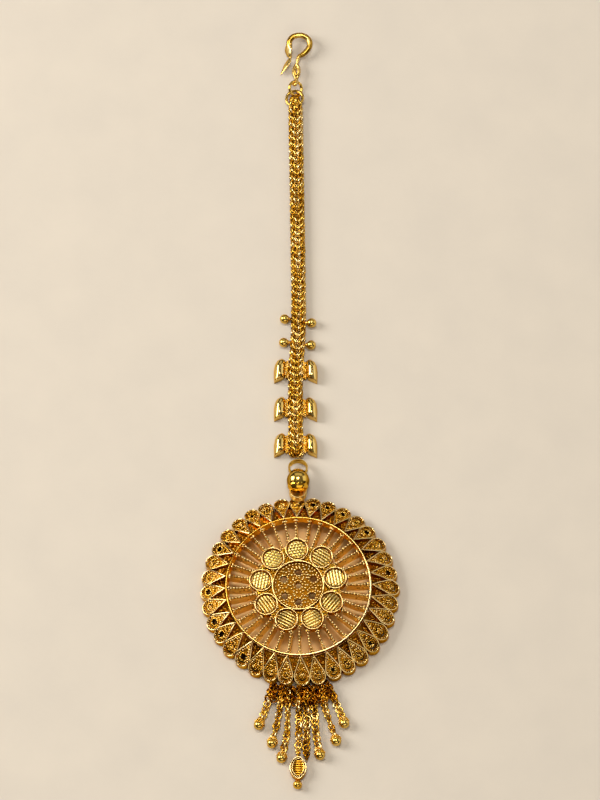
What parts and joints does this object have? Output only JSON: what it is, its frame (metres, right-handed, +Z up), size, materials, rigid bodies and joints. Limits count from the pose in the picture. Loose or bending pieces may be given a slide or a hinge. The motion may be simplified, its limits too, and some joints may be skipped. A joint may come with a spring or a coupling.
{
  "type": "maang tikka",
  "caption": "Forehead jewel: a domed open-work rosette with a link fringe and a pointed charm, hung by a bead on a double chain with leaves and a hair hook.",
  "frame": {"origin": "centre of the object's footprint on the surface it lies on, halfway along its length", "axes": "+Y along the chain to the hair hook, +Z up out of the face, +X to the right seen from the face with the hook at the top"},
  "size_m": [0.0396, 0.1594, 0.0058],
  "materials": {
    "gold_polished": "polished yellow gold plate",
    "gold_filigree": "polished strip edges, beaded wire and granules, darker in the recesses",
    "gold_chain": "polished round wire links",
    "gold_wire": "polished drawn wire and band"
  },
  "bodies": {
    "root": {"hook": "gold_wire", "top_ring": "gold_wire", "chain_ring": "gold_wire", "chain_left": "gold_chain", "chain_right": "gold_chain", "side_ball_1": "gold_polished", "side_ball_2": "gold_polished", "side_ball_3": "gold_polished", "side_ball_4": "gold_polished", "leaf_left_1": "gold_polished", "leaf_right_1": "gold_polished", "leaf_left_2": "gold_polished", "leaf_right_2": "gold_polished", "leaf_left_3": "gold_polished", "leaf_right_3": "gold_polished", "connector_ring": "gold_wire", "bead": "gold_polished", "bail": "gold_wire", "medallion": "gold_filigree", "fringe_1": "gold_chain", "fringe_2": "gold_chain", "fringe_3": "gold_chain", "fringe_4": "gold_chain", "fringe_5": "gold_chain", "fringe_6": "gold_chain", "fringe_7": "gold_chain", "fringe_8": "gold_chain", "fringe_ball_1": "gold_polished", "fringe_ball_2": "gold_polished", "fringe_ball_3": "gold_polished", "fringe_ball_6": "gold_polished", "fringe_ball_7": "gold_polished", "fringe_ball_8": "gold_polished", "drop_charm": "gold_polished"}
  },
  "joints": []
}
